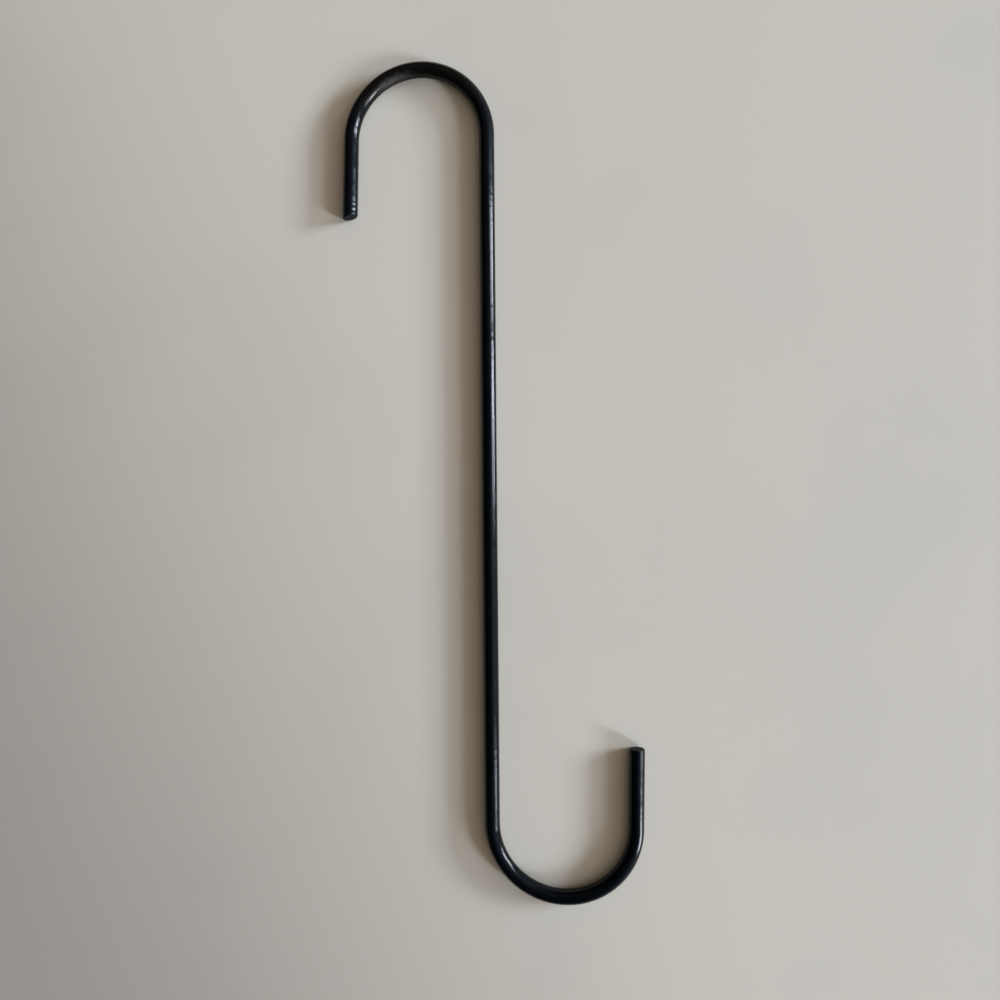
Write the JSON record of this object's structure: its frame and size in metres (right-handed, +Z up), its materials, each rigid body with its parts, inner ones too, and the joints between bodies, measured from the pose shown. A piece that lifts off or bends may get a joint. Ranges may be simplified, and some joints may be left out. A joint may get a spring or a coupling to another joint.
{
  "type": "s hook",
  "caption": "Long-shank S hook of round steel wire with a gloss black coat: a wide hook at each end, opening to opposite sides.",
  "frame": {"origin": "on the surface that the hook lies on, below the middle of its outline", "axes": "+Z up out of the flat of the hook; +Y along the shank towards the upper hook, which opens towards -X; +X towards the side that the lower hook opens to"},
  "size_m": [0.1066, 0.3, 0.0054],
  "materials": {
    "black_coat": "gloss black baked coat over steel wire, with a light orange peel"
  },
  "bodies": {
    "root": {"s_hook": "black_coat"}
  },
  "joints": []
}
